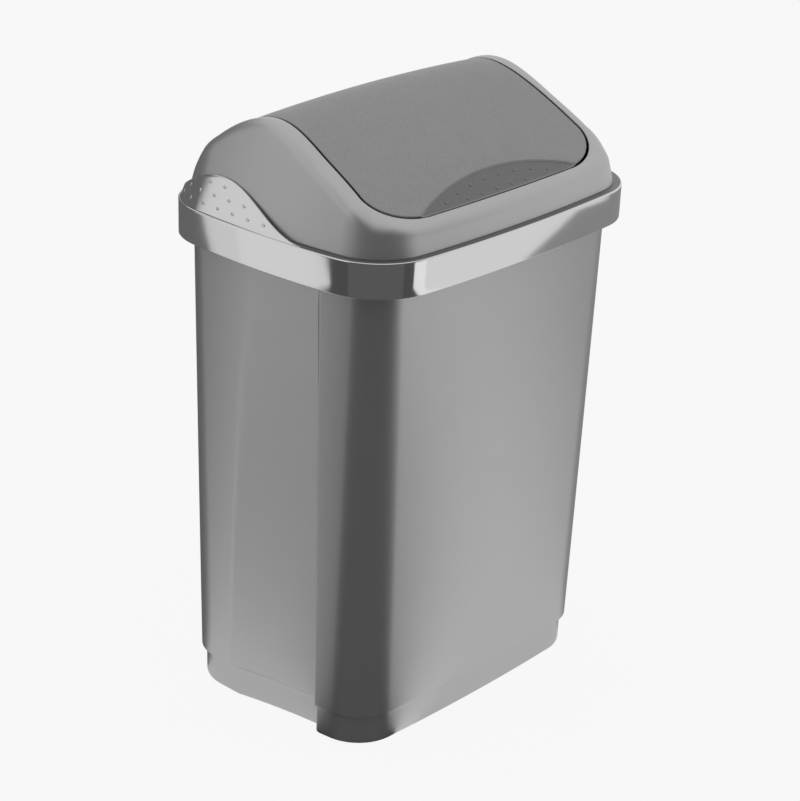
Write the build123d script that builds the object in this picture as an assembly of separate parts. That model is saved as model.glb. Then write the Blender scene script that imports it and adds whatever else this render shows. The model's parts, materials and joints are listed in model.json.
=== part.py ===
from build123d import *
import math
import os

# Swing-lid trash can. Millimetres, +Z up, origin on the floor under the middle of the can.
# X runs along the hinge of the flap, and -Y is the front.

# Bucket: outer sizes of its wall
foot_width = 290.4
foot_depth = 203.7
foot_height = 28.0
foot_step = 2.8
foot_edge_round = 4.5
base_corner = 38.0
base_bow_x = 5.0
base_bow_y = 4.4
mouth_inset_x = 13.2
mouth_inset_y = 14.05
mouth_corner = 33.0
bucket_draft = 0.9
bucket_wall = 2.2
bucket_floor = 2.6

# Bucket: the recess in each side wall, deepest at its front step
recess_front_y = -48.0
recess_middle_y = 0.0
recess_back_y = 46.0
recess_foot_depth = (10.4, 6.4, -1.3)
recess_mouth_depth = (1.8, 0.2, -1.2)

# Rim of the bucket, inside the collar
rim_thickness = 2.4
rim_lip_depth = 11.0
rim_lip_wall = 2.0
rim_clearance = 0.5

# Collar
collar_width = 340.0
collar_depth = 257.0
collar_corner = 55.8
collar_bow_x = 10.2
collar_bow_y = 8.8
collar_bottom = 401.3
collar_top = 430.2
collar_wall = 2.4
collar_ledge = 7.3
ledge_thickness = 2.4
ledge_under_hood = 5.0

# Grip wings that rise from the collar at each end
wing_inset = 1.5
wing_lean = 20.5
wing_front_y = -50.0
wing_peak_y = 57.0
wing_back_y = 116.0
wing_height = 30.0
wing_inner_x = 100.0
wing_gap = 0.25

# Hood
hood_wall = 2.2
hood_lean = 14.0
hood_round = 15.0
hood_end_inset = 20.0
crest_y = 22.0
hood_crest = 84.3

# Side views of the hood, over its ends and over its middle: each point is a distance in from
# the collar's front or back, and a height above the collar's top
hood_end_front = ((-21.5, -22.2), (10.5, 14.8), (43.5, 44.8), (96.5, 70.8))
hood_middle_front = ((-21.5, -9.2), (10.5, 15.8), (43.5, 35.8), (96.5, 67.8))
hood_back = ((70.5, 70.8), (32.5, 40.8), (4.5, 5.8), (-16.5, -25.2))

# Flap: its side view is given as the hood's is, its plan as distances in from the collar's sides
flap_thickness = 2.2
flap_crown = 4.5
flap_crest = 81.8
flap_front = ((-11.5, -3.2), (24.5, 22.8), (54.5, 42.8), (96.5, 64.8))
flap_back = ((70.5, 69.3), (32.5, 37.8), (-11.5, -15.2))
flap_front_inset = 24.5
flap_back_inset = 43.5
flap_shoulder_inset = 34.7
flap_flare_inset = 39.2
flap_flare_y = -32.0
flap_waist_inset = 43.5
flap_waist_y = 14.0
flap_tail_inset = 39.5
flap_front_corner = 40.0
flap_back_corner = 22.0
flap_gap = 1.6
flap_front_lean = 27.0
flap_back_lean = 12.0
flange_depth = 9.0
flange_wall = 1.8

# Push area at the flap's front edge
push_half_width = 98.0
push_reach = 19.5
push_depth = 1.3

# Pivot of the flap
pivot_height = 64.8
pin_radius = 3.0
pin_clearance = 0.08
pin_end_gap = 0.6
ear_half_width = 7.0
ear_thickness = 3.5
ear_inset = 1.5
ear_below_pin = 4.0
lug_half_width = 8.0
lug_thickness = 4.0
lug_below_pin = 5.0

# Heights and sizes that follow from the ones above
mouth_width = collar_width - 2 * mouth_inset_x
mouth_depth = collar_depth - 2 * mouth_inset_y
rim_top = collar_top - ledge_thickness
rim_width = collar_width - 2 * (collar_wall + rim_clearance)
rim_depth = collar_depth - 2 * (collar_wall + rim_clearance)
hood_end_x = collar_width / 2 - hood_end_inset
hood_construction_top = collar_top + hood_crest + hood_round
flap_shoulder_x = collar_width / 2 - flap_shoulder_inset
flap_flare_x = collar_width / 2 - flap_flare_inset
flap_waist_x = collar_width / 2 - flap_waist_inset
flap_tail_x = collar_width / 2 - flap_tail_inset
flap_front_y = flap_front_inset - collar_depth / 2
flap_back_y = collar_depth / 2 - flap_back_inset
flap_reference_z = collar_top + flap_front[1][1]
pivot_z = collar_top + pivot_height
pin_end_x = flap_waist_x + flap_gap + lug_thickness
far_x = collar_width
far_y = collar_depth
far_z = 2 * collar_top


def outline(width, depth, corner, bow_x, bow_y, height):
    """Rounded rectangle with softly bowed sides, as a face at one height."""
    half_width = width / 2
    half_depth = depth / 2
    corner_x = half_width - bow_x
    corner_y = half_depth - bow_y
    right = ThreePointArc((corner_x, -corner_y), (half_width, 0), (corner_x, corner_y))
    back = ThreePointArc((corner_x, corner_y), (0, half_depth), (-corner_x, corner_y))
    left = ThreePointArc((-corner_x, corner_y), (-half_width, 0), (-corner_x, -corner_y))
    front = ThreePointArc((-corner_x, -corner_y), (0, -half_depth), (corner_x, -corner_y))
    face = make_face([right, back, left, front])
    face = fillet(face.vertices(), corner)
    return Pos(0, 0, height) * face


def collar_outline(inset, height):
    """The collar's outline, brought in by a distance all round."""
    return outline(
        collar_width - 2 * inset,
        collar_depth - 2 * inset,
        collar_corner - inset,
        collar_bow_x,
        collar_bow_y,
        height,
    )


def tower(inset, lean, bottom, top):
    """Solid on the collar's outline whose walls lean in by an angle as they rise."""
    lean_in = (top - bottom) * math.tan(math.radians(lean))
    return loft([collar_outline(inset, bottom), collar_outline(inset + lean_in, top)], ruled=True)


def plate(inset, bottom, top):
    """Flat plate on the collar's outline."""
    return extrude(collar_outline(inset, bottom), top - bottom)


def side_recess(side, grow):
    """Wedge that sinks a side wall: deep behind its front step, nothing at its back."""
    sections = []
    levels = (
        (0.0, foot_width / 2, recess_foot_depth),
        (rim_top, mouth_width / 2, recess_mouth_depth),
    )
    for height, half_width, depth in levels:
        front = (side * (half_width - depth[0] - grow), recess_front_y - grow)
        middle = (side * (half_width - depth[1] - grow), recess_middle_y)
        back = (side * (half_width - depth[2] - grow), recess_back_y + grow)
        outside_back = (side * far_x / 2, recess_back_y + grow)
        outside_front = (side * far_x / 2, recess_front_y - grow)
        wall = ThreePointArc(front, middle, back)
        rest = Polyline(back, outside_back, outside_front, front)
        sections.append(Pos(0, 0, height) * make_face([wall, rest.edges()[0], rest.edges()[1], rest.edges()[2]]))
    return loft(sections, ruled=True)


def bucket_outline(inset, height, is_foot):
    """Outline of the bucket's outer wall at a height, brought in by a distance."""
    share = height / rim_top
    step_in = 0.0 if is_foot else foot_step
    start_width = foot_width + 2 * step_in
    start_depth = foot_depth + 2 * step_in
    if is_foot:
        draft_in = height * math.tan(math.radians(bucket_draft))
        width = start_width + 2 * draft_in
        depth = start_depth + 2 * draft_in
    else:
        width = start_width + share * (mouth_width - start_width)
        depth = start_depth + share * (mouth_depth - start_depth)
    corner = base_corner + share * (mouth_corner - base_corner)
    bow_x = base_bow_x + share * (collar_bow_x - base_bow_x)
    bow_y = base_bow_y + share * (collar_bow_y - base_bow_y)
    return outline(width - 2 * inset, depth - 2 * inset, corner - inset, bow_x, bow_y, height)


def bucket_body(inset, bottom, top):
    """The bucket's shape as a solid block: foot, tapered wall and side recesses."""
    wall_start = foot_height + inset
    foot = loft([bucket_outline(inset, bottom, True), bucket_outline(inset, wall_start, True)], ruled=True)
    if inset == 0:
        foot = fillet(foot.faces().sort_by(Axis.Z)[0].edges(), foot_edge_round)
    wall = loft([bucket_outline(inset, wall_start, False), bucket_outline(inset, top, False)], ruled=True)
    body = foot + wall
    for side in (-1, 1):
        body -= side_recess(side, inset)
    return body


def make_bin_body():
    """Bucket: a thin-walled moulding with a turned-out rim at its mouth."""
    rim = extrude(outline(rim_width, rim_depth, collar_corner, collar_bow_x, collar_bow_y,
                          rim_top - rim_thickness), rim_thickness)
    lip_bottom = rim_top - rim_lip_depth
    lip = extrude(outline(rim_width, rim_depth, collar_corner, collar_bow_x, collar_bow_y, lip_bottom),
                  rim_lip_depth)
    lip -= extrude(outline(rim_width - 2 * rim_lip_wall, rim_depth - 2 * rim_lip_wall,
                           collar_corner - rim_lip_wall, collar_bow_x, collar_bow_y, lip_bottom),
                   rim_lip_depth)
    cavity = bucket_body(bucket_wall, bucket_floor, rim_top + 1.0)
    return bucket_body(0.0, 0.0, rim_top) + rim + lip - cavity


def bell(front, crest, back, drop):
    """Closed face in the YZ plane under a smooth bell curve, lowered by a distance."""
    start_y = -collar_depth / 2
    end_y = collar_depth / 2
    rising = [(0, start_y + inset, collar_top + height - drop) for inset, height in front]
    falling = [(0, end_y - inset, collar_top + height - drop) for inset, height in back]
    top = (0, crest_y, collar_top + crest - drop)
    curve = Spline([*rising, top, *falling])
    low = collar_bottom - drop
    right = Line(falling[-1], (0, falling[-1][1], low))
    base = Line((0, falling[-1][1], low), (0, rising[0][1], low))
    left = Line((0, rising[0][1], low), rising[0])
    return make_face([curve, right, base, left])


def hood_roof(drop):
    """Everything under the hood's domed top, lowered by a distance."""
    end = bell(hood_end_front, hood_crest, hood_back, drop)
    middle = bell(hood_middle_front, hood_crest, hood_back, drop)
    near = loft([Pos(-hood_end_x, 0, 0) * end, middle, Pos(hood_end_x, 0, 0) * end])
    left = extrude(Pos(-hood_end_x, 0, 0) * end, hood_end_x, dir=(-1, 0, 0))
    right = extrude(Pos(hood_end_x, 0, 0) * end, hood_end_x, dir=(1, 0, 0))
    return near + left + right


def flap_roof(drop):
    """Everything under the flap's crowned top, lowered by a distance."""
    end = bell(flap_front, flap_crest, flap_back, drop + flap_crown)
    middle = bell(flap_front, flap_crest, flap_back, drop)
    return loft([Pos(-hood_end_x, 0, 0) * end, middle, Pos(hood_end_x, 0, 0) * end])


def flap_plan(grow, height):
    """The flap's outline seen from above: waisted at the pivot, wider to the front."""
    rise = height - flap_reference_z
    front_y = flap_front_y - grow - rise * math.tan(math.radians(flap_front_lean))
    back_y = flap_back_y + grow + rise * math.tan(math.radians(flap_back_lean))
    corner = flap_front_corner + grow
    back_corner = flap_back_corner + grow
    shoulder = flap_shoulder_x + grow
    tail = flap_tail_x + grow
    edges = [Line((-shoulder + corner, front_y), (shoulder - corner, front_y))]
    for side in (1, -1):
        lower = side * shoulder, front_y + corner
        edges.append(RadiusArc((side * (shoulder - corner), front_y), lower, -side * corner))
        edges.append(Spline(lower, (side * (flap_flare_x + grow), flap_flare_y),
                            (side * (flap_waist_x + grow), flap_waist_y),
                            (side * tail, back_y - back_corner),
                            tangents=((0, 1), (0, 1))))
        edges.append(RadiusArc((side * tail, back_y - back_corner), (side * (tail - back_corner), back_y),
                               -side * back_corner))
    edges.append(Line((-tail + back_corner, back_y), (tail - back_corner, back_y)))
    return Pos(0, 0, height) * make_face(edges)


def flap_column(grow):
    """Leaning column on the flap's outline, so that its ends clear the hood as it swings."""
    return loft([flap_plan(grow, collar_top), flap_plan(grow, hood_construction_top)], ruled=True)


def hood_block(inset):
    """The hood's shape as a solid block, its walls and roof brought in by a distance."""
    block = tower(collar_ledge + inset, hood_lean, collar_top, hood_construction_top) & hood_roof(inset)
    shoulder_edges = [edge for edge in block.edges() if is_shoulder(edge)]
    return fillet(shoulder_edges, hood_round - inset)


def is_shoulder(edge):
    """True for an edge that runs round the hood where its walls meet its roof."""
    box = edge.bounding_box()
    above_ledge = box.min.Z > collar_top + 1.0
    upright = edge.length < 1.2 * box.size.Z
    return above_ledge and not upright


def make_hood(pivot_y):
    """Domed cover with the flap's opening, a flange round it and a lug at each end of the pivot."""
    hood = hood_block(0.0) - hood_block(hood_wall)
    opening = flap_column(flap_gap)
    flange = flap_column(flap_gap + flange_wall) & (hood_block(0.0) - hood_roof(flange_depth))
    hood = hood + flange
    lug_height = hood_construction_top - (pivot_z - lug_below_pin)
    for side in (-1, 1):
        lug = Box(lug_thickness, 2 * lug_half_width, lug_height, align=(Align.MIN, Align.CENTER, Align.MIN))
        start_x = flap_waist_x + flap_gap if side > 0 else -flap_waist_x - flap_gap - lug_thickness
        hood += (Pos(start_x, pivot_y, pivot_z - lug_below_pin) * lug) & hood_block(0.0)
    hood -= opening
    return hood - pivot_bar(pivot_y, pin_radius + pin_clearance, 2 * (pin_end_x + pin_end_gap))


def pivot_bar(pivot_y, radius, length):
    """Round bar along the flap's pivot, centred on the can."""
    return Pos(0, pivot_y, pivot_z) * Rot(0, 90, 0) * Cylinder(radius, length)


def wing_profile():
    """Side view of a grip wing: a hump that rises and falls along the collar's top."""
    start = (0, wing_front_y, collar_top - ledge_thickness)
    peak = (0, wing_peak_y, collar_top + wing_height)
    finish = (0, wing_back_y, collar_top - ledge_thickness)
    curve = Spline([start, peak, finish], tangents=((0, 1, 0.25), (0, 1, -0.25)))
    return make_face([curve, Line(finish, start)])


def make_gloss_collar():
    """Band round the mouth, its top ledge, and a grip wing at each end."""
    band = plate(0.0, collar_bottom, collar_top) - plate(collar_wall, collar_bottom, rim_top)
    band -= plate(collar_ledge + ledge_under_hood, collar_bottom, collar_top)
    cover = tower(wing_inset, wing_lean, collar_top, hood_construction_top)
    cover -= tower(collar_ledge - wing_gap, hood_lean, collar_top, hood_construction_top)
    for side in (-1, 1):
        hump = extrude(Pos(side * wing_inner_x, 0, 0) * wing_profile(), far_x / 2, dir=(side, 0, 0))
        band += cover & hump
    return band


def flap_plate():
    """The flap without its ears and pins."""
    plate_solid = (flap_roof(0.0) - flap_roof(flap_thickness)) & flap_column(0.0)
    radius = (push_half_width ** 2 + push_reach ** 2) / (2 * push_reach)
    centre_y = flap_front_y + push_reach - radius
    disc = Pos(0, centre_y, collar_top) * Cylinder(radius, far_z, align=(Align.CENTER, Align.CENTER, Align.MIN))
    return plate_solid - (disc - flap_roof(push_depth))


def make_flap(pivot_y):
    """Flap with an ear under each end and a pivot pin on each ear."""
    flap = flap_plate()
    ear_bottom = pivot_z - ear_below_pin
    pins = pivot_bar(pivot_y, pin_radius, 2 * pin_end_x)
    inner_x = flap_waist_x - ear_inset - ear_thickness
    for side in (-1, 1):
        ear = Box(ear_thickness, 2 * ear_half_width, far_z, align=(Align.MIN, Align.CENTER, Align.MIN))
        start_x = inner_x if side > 0 else -inner_x - ear_thickness
        flap += (Pos(start_x, pivot_y, ear_bottom) * ear) & flap_roof(flap_thickness / 2)
        reach = Pos(side * (inner_x + far_x / 2), pivot_y, pivot_z) * Box(far_x, far_y, far_z)
        flap += pins & reach
    return flap


# The pins sit straight above the flap's centre of mass, so it hangs closed
flap_pivot_y = flap_plate().center(CenterOf.MASS).Y
print("flap pivot y", round(flap_pivot_y, 4), "z", pivot_z)

pieces = {
    "bin_body": make_bin_body(),
    "gloss_collar": make_gloss_collar(),
    "hood": make_hood(flap_pivot_y),
    "swing_flap": make_flap(flap_pivot_y),
}

os.makedirs("parts", exist_ok=True)
for name, piece in pieces.items():
    solid = piece.solids()[0] if len(piece.solids()) == 1 else piece
    print(name, "solids", len(piece.solids()), "volume", round(piece.volume), piece.bounding_box())
    export_step(solid, f"parts/{name}.step")
print("flap centre of mass", pieces["swing_flap"].center(CenterOf.MASS))
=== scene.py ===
# %% [markdown]
# # A swing-lid trash can, dressed for its portrait
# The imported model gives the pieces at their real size. Here each of its four mouldings gets the surface
# that a moulded plastic bin shows up close: soft rounded edges, a polished band at the collar, rows of
# small grip dots and a fine grain. Every piece is a surface worked out with numpy, so each shape can be
# read as a formula. Lengths are in millimetres until a mesh is made, because that is how a maker thinks of
# a bin.

import json
import math

import bpy
import numpy as np
from mathutils import Matrix, Vector


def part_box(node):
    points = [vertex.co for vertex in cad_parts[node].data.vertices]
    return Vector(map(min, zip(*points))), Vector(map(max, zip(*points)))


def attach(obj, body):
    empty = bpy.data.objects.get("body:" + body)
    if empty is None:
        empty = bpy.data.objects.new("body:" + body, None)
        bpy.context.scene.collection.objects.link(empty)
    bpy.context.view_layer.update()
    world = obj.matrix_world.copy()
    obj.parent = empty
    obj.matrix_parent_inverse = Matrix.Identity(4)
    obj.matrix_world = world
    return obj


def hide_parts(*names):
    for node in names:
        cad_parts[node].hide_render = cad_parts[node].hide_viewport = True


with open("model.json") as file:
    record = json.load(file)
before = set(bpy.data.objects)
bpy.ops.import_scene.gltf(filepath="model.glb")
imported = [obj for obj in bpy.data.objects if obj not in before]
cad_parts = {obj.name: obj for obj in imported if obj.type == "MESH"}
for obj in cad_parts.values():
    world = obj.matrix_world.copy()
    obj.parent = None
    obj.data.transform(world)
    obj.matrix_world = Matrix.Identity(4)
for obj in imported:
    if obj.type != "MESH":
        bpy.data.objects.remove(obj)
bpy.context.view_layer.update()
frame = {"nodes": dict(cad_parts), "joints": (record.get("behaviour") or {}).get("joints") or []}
MM = 0.001
pivot_joint = next(joint for joint in frame["joints"] if joint["name"] == "flap_swing")
pivot_y = pivot_joint["pos_m"][1] / MM
pivot_z = pivot_joint["pos_m"][2] / MM
print("nodes", sorted(frame["nodes"]), "pivot y", round(pivot_y, 3), "z", round(pivot_z, 3))

# %% [markdown]
# ## Driving sizes
# These repeat the few sizes that the mouldings share. The collar is the widest piece, so the hood and the
# rim are set in from it, and heights are counted up from the floor.

# %% Driving sizes
collar_low, collar_high = (np.array(corner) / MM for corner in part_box("gloss_collar"))
COLLAR_HALF_X = 170.0
COLLAR_HALF_Y = 128.5
COLLAR_CORNER = 55.8
COLLAR_BOW = (10.2, 8.8)
COLLAR_BOTTOM = 401.3
COLLAR_TOP = 430.2
LEDGE = 7.3
LEDGE_THICKNESS = 2.4
RIM_TOP = COLLAR_TOP - LEDGE_THICKNESS
print("collar in the frame", collar_low.round(1), collar_high.round(1))


# %% [markdown]
# ## From a grid of points to a mesh
# Nearly every shape below is a grid: rows along a profile, columns round the piece. A real moulding has no
# seams, so the last column joins the first, and a profile that ends on the middle is closed with a fan of
# triangles.

# %% Grid to mesh
def join_grid(name, points, wrap_rows=False, start_pole=False, end_pole=False):
    """Mesh object from rows x columns x 3 points in millimetres.

    Point (r, c) joins (r + 1, c + 1) in one four-sided face, and column numbers wrap round. A pole is a row
    whose points all fall together: it becomes one vertex that its neighbour row meets in triangles.
    """
    rows, columns, _ = points.shape
    first = 1 if start_pole else 0
    last = rows - 1 if end_pole else rows
    body = points[first:last].reshape(-1, 3)
    index = np.arange(len(body)).reshape(last - first, columns)
    upper = index if wrap_rows else index[:-1]
    lower = np.roll(index, -1, axis=0) if wrap_rows else index[1:]
    quads = np.stack([upper, np.roll(upper, -1, 1), np.roll(lower, -1, 1), lower], -1).reshape(-1, 4)
    faces = quads.tolist()
    vertices = [body]
    for wanted, row, ring, flip in ((start_pole, 0, index[0], True), (end_pole, rows - 1, index[-1], False)):
        if wanted:
            pole = sum(len(part) for part in vertices)
            vertices.append(points[row].mean(0)[None])
            after = np.roll(ring, -1)
            pair = (after, ring) if flip else (ring, after)
            fan = np.stack([pair[0], pair[1], np.full(columns, pole)], -1)
            faces += fan.tolist()
    return new_piece(name, np.concatenate(vertices), faces)


def new_piece(name, vertices, faces):
    """Object at the origin from vertices in millimetres, shaded smooth, with its faces turned outwards."""
    mesh = bpy.data.meshes.new(name)
    mesh.from_pydata((vertices * MM).tolist(), [], faces)
    mesh.polygons.foreach_set("use_smooth", np.ones(len(mesh.polygons), bool))
    if signed_volume(vertices, faces) < 0:
        mesh.flip_normals()
    mesh.update()
    piece = bpy.data.objects.new(name, mesh)
    bpy.context.scene.collection.objects.link(piece)
    print(name, len(vertices), "vertices,", len(faces), "faces")
    return piece


def signed_volume(vertices, faces):
    """Volume of a closed mesh: a sixth of the sum of a . (b x c) over its triangles."""
    sizes = np.array([len(face) for face in faces])
    total = 0.0
    for size in (3, 4):
        chosen = [face for face, count in zip(faces, sizes) if count == size]
        if chosen:
            corner = vertices[np.array(chosen)]
            for second in range(1, size - 1):
                cross = np.cross(corner[:, second], corner[:, second + 1])
                total += (corner[:, 0] * cross).sum() / 6
    return total


def smooth_step(share):
    """Rises from 0 to 1 with no kink at either end: 3 s^2 - 2 s^3."""
    share = np.clip(share, 0.0, 1.0)
    return share * share * (3 - 2 * share)


# %% [markdown]
# ## The outline that every moulding shares
# Seen from above, the bin is a rectangle with round corners whose sides bow out a little. Each side is one
# long arc and each corner a circle that runs into it without a kink. The direction in which the wall faces
# is a good parameter for such a shape: it turns once round the bin, and an inset wall is the same formula
# with every radius shortened.

# %% Outline of the bin
class Outline:
    """Bowed rounded rectangle. All its sizes may be numbers or columns of numbers, one for each row."""

    def __init__(self, half_x, half_y, corner, bow):
        bow_x, bow_y = bow
        self.side_radius = ((half_y - bow_y) ** 2 + bow_x ** 2) / (2 * bow_x)
        self.front_radius = ((half_x - bow_x) ** 2 + bow_y ** 2) / (2 * bow_y)
        self.side_middle = half_x - self.side_radius
        self.front_middle = half_y - self.front_radius
        self.corner = corner
        to_side = self.side_radius - corner
        to_front = self.front_radius - corner
        gap = np.hypot(self.side_middle, self.front_middle)
        along = (to_side ** 2 - to_front ** 2 + gap ** 2) / (2 * gap)
        across = np.sqrt(to_side ** 2 - along ** 2)
        unit_x, unit_y = -self.side_middle / gap, self.front_middle / gap
        self.corner_x = self.side_middle + along * unit_x - across * unit_y
        self.corner_y = along * unit_y + across * unit_x
        self.side_turn = np.arctan2(self.corner_y, self.corner_x - self.side_middle)
        self.front_turn = np.arctan2(self.corner_y - self.front_middle, self.corner_x)

    def point(self, turn, inset=0.0):
        """Where the wall faces `turn`: arc centre + (arc radius - inset) x (cos turn, sin turn)."""
        cos, sin = np.cos(turn), np.sin(turn)
        fold = np.arctan2(np.abs(sin), np.abs(cos))
        on_side, on_front = fold < self.side_turn, fold > self.front_turn
        middle_x = np.where(on_side, self.side_middle, np.where(on_front, 0.0, self.corner_x))
        middle_y = np.where(on_side, 0.0, np.where(on_front, self.front_middle, self.corner_y))
        radius = np.where(on_side, self.side_radius, np.where(on_front, self.front_radius, self.corner))
        x = middle_x * np.sign(cos) + (radius - inset) * cos
        y = middle_y * np.sign(sin) + (radius - inset) * sin
        return x, y


collar_outline = Outline(COLLAR_HALF_X, COLLAR_HALF_Y, COLLAR_CORNER, COLLAR_BOW)
corner_centre = (float(collar_outline.corner_x), float(collar_outline.corner_y))
print("collar corner centre", [round(part, 1) for part in corner_centre], "mm")


def turns_round(shape, on_side, on_corner, on_front):
    """Directions once round an outline, spread evenly over each of its arcs."""
    quarter = np.concatenate([
        np.linspace(0, shape.side_turn, on_side, endpoint=False),
        np.linspace(shape.side_turn, shape.front_turn, on_corner, endpoint=False),
        np.linspace(shape.front_turn, math.pi / 2, on_front, endpoint=False),
    ])
    half = np.concatenate([quarter, [math.pi / 2], math.pi - quarter[:0:-1]])
    return np.concatenate([half, half + math.pi])


def round_corners(corners, radii, steps=6):
    """Polyline in a plane with each corner swapped for a short parabola that touches both its sides.

    A point at share s of the way is (1 - s)^2 x start + 2 s (1 - s) x corner + s^2 x end.
    """
    corners = np.array(corners, float)
    before = np.roll(corners, 1, 0) - corners
    after = np.roll(corners, -1, 0) - corners
    before /= np.linalg.norm(before, axis=1)[:, None]
    after /= np.linalg.norm(after, axis=1)[:, None]
    half_angle = np.arccos(np.clip((before * after).sum(1), -1, 1)) / 2
    radii = np.array(radii, float)
    reach = radii / np.tan(half_angle)
    start, end = corners + before * reach[:, None], corners + after * reach[:, None]
    share = np.linspace(0, 1, steps)[None, :, None]
    from_start, from_corner, from_end = (1 - share) ** 2, 2 * share * (1 - share), share ** 2
    bend = from_start * start[:, None] + from_corner * corners[:, None] + from_end * end[:, None]
    return bend.reshape(-1, 2)


# %% [markdown]
# ## The polished collar
# The collar is a band with a flat ledge on top. Its cross-section is the same all the way round, so it is
# one closed profile carried round the outline. The profile's corners are rounded by about a millimetre:
# those narrow rounds are what draws the thin bright lines along a polished edge.

# %% Collar band
COLLAR_WALL = 2.4
LEDGE_REACH = LEDGE + 5.0
band_corners = [
    (0.2, COLLAR_BOTTOM), (0.0, COLLAR_TOP), (LEDGE_REACH, COLLAR_TOP),
    (LEDGE_REACH, RIM_TOP), (COLLAR_WALL, RIM_TOP), (COLLAR_WALL, COLLAR_BOTTOM),
]
band_radii = [0.7, 1.3, 0.4, 0.4, 0.8, 0.5]
band_profile = round_corners(band_corners, band_radii)
collar_turns = turns_round(collar_outline, on_side=24, on_corner=30, on_front=34)
band_x, band_y = collar_outline.point(collar_turns[None, :], band_profile[:, :1])
band_z = np.broadcast_to(band_profile[:, 1:], band_x.shape)
band = join_grid("gloss_collar_band", np.stack([band_x, band_y, band_z], -1), wrap_rows=True)


def set_mask(piece, name, values):
    """Stores a number from 0 to 1 at each point, for the finish to read."""
    layer = piece.data.attributes.new(name, "FLOAT", "POINT")
    layer.data.foreach_set("value", np.asarray(values, np.float32))


# The ledge takes the collar's second tone. Its dark colour is painted shade, standing in for the shadow that
# the hood casts into the nook at its foot.
LEVEL_WITH_TOP = 0.05
painted_shade_on_ledge = band_z > COLLAR_TOP - LEVEL_WITH_TOP
set_mask(band, "second_tone", painted_shade_on_ledge.ravel())

# %% [markdown]
# ## The grip wings
# At each end the collar rises into a hump that leans in against the hood. Seen from the side the hump is a
# raised cosine: it starts level with the collar, climbs to its peak and falls away round the back corner.
# Each column of the grid is the wing's cross-section at one place, stretched to the hump's height there.

# %% Grip wings
WING_INSET = 1.5
WING_LEAN = math.tan(math.radians(20.5))
WING_HEIGHT = 30.0
WING_START_Y = -44.0
WING_PEAK_Y = 53.0
WING_FALL = 100.0
WING_THICKNESS = 1.5
WING_EDGE_ROUND = 0.7
WING_ROUND_SHARE = 0.3
WING_LEAST_HEIGHT = 0.3
WING_SUNK = 0.4
WING_TRIM = (2.0, 3.0)
WING_RUN = (-0.16, collar_outline.front_turn + 0.02)
WING_RUN_POINTS = 1200
WING_COLUMNS = 150
WING_WALL_ROWS = 20
WING_EDGE_ROWS = 7


def wing_run():
    """Line along the wings' foot, front corner to back corner: its directions, its y and its length."""
    turn = np.linspace(*WING_RUN, WING_RUN_POINTS)
    x, y = collar_outline.point(turn, WING_INSET)
    length = np.concatenate([[0], np.cumsum(np.hypot(np.diff(x), np.diff(y)))])
    return turn, y, length


def wing_height(y, run):
    """Raised cosine: up along y from start to peak, then down along the outline's length past the peak."""
    climb = (y - WING_START_Y) / (WING_PEAK_Y - WING_START_Y)
    rise = 0.5 - 0.5 * np.cos(math.pi * np.clip(climb, 0, 1))
    fall = 0.5 + 0.5 * np.cos(math.pi * np.clip(run / WING_FALL, 0, 1))
    return WING_HEIGHT * rise * fall


def make_wing(side):
    """Closed wall that leans in as it rises, carried along the collar from the wing's front to its back."""
    turn, y, length = wing_run()
    start = np.interp(WING_START_Y + WING_TRIM[0], y, length)
    peak = np.interp(WING_PEAK_Y, y, length)
    where = np.linspace(start, peak + WING_FALL - WING_TRIM[1], WING_COLUMNS)
    turn = np.interp(where, length, turn)
    _, base_y = collar_outline.point(turn, WING_INSET)
    height = np.maximum(wing_height(base_y, where - peak), WING_LEAST_HEIGHT)
    climb = np.linspace(0, 1, WING_WALL_ROWS)[:, None]
    bend = np.linspace(0, 1, WING_EDGE_ROWS)[1:, None]
    top_round = np.minimum(WING_EDGE_ROUND, height * WING_ROUND_SHARE)
    outer_rise = -WING_SUNK + climb * (height - top_round + WING_SUNK)
    outer_in = outer_rise * WING_LEAN
    edge_rise = height - top_round * (1 - np.sin(bend * math.pi / 2))
    edge_in = edge_rise * WING_LEAN + top_round * (1 - np.cos(bend * math.pi / 2))
    inner_rise = height - climb * (height + WING_SUNK)
    inner_in = inner_rise * WING_LEAN + WING_THICKNESS
    rise = np.concatenate([outer_rise, edge_rise, inner_rise])
    inward = np.concatenate([outer_in, edge_in, inner_in])
    x, y = collar_outline.point(turn[None, :], WING_INSET + inward)
    points = np.stack([side * x, y, COLLAR_TOP + rise], -1)
    word = "right" if side > 0 else "left"
    return cap_strip(f"gloss_collar_wing_{word}", points)


def cap_strip(name, points):
    """Closed piece from a grid whose rows form a ring and whose first and last columns are its flat ends."""
    rows, columns, _ = points.shape
    index = np.arange(rows * columns).reshape(rows, columns)
    below = np.roll(index, -1, axis=0)
    quads = np.stack([index[:, :-1], index[:, 1:], below[:, 1:], below[:, :-1]], -1).reshape(-1, 4)
    end_middles = np.stack([points[:, 0].mean(0), points[:, -1].mean(0)])
    vertices = np.concatenate([points.reshape(-1, 3), end_middles])
    first, last = rows * columns, rows * columns + 1
    start = np.stack([index[:, 0], below[:, 0], np.full(rows, first)], -1)
    end = np.stack([below[:, -1], index[:, -1], np.full(rows, last)], -1)
    return new_piece(name, vertices, quads.tolist() + start.tolist() + end.tolist())


wings = [make_wing(side) for side in (-1, 1)]

# %% [markdown]
# ## Side views
# A moulder draws the lid as a few side views and lets the tool cut a smooth surface between them. A natural
# cubic spline does the same here: it passes through a handful of heights and bends as little as it can.

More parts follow.
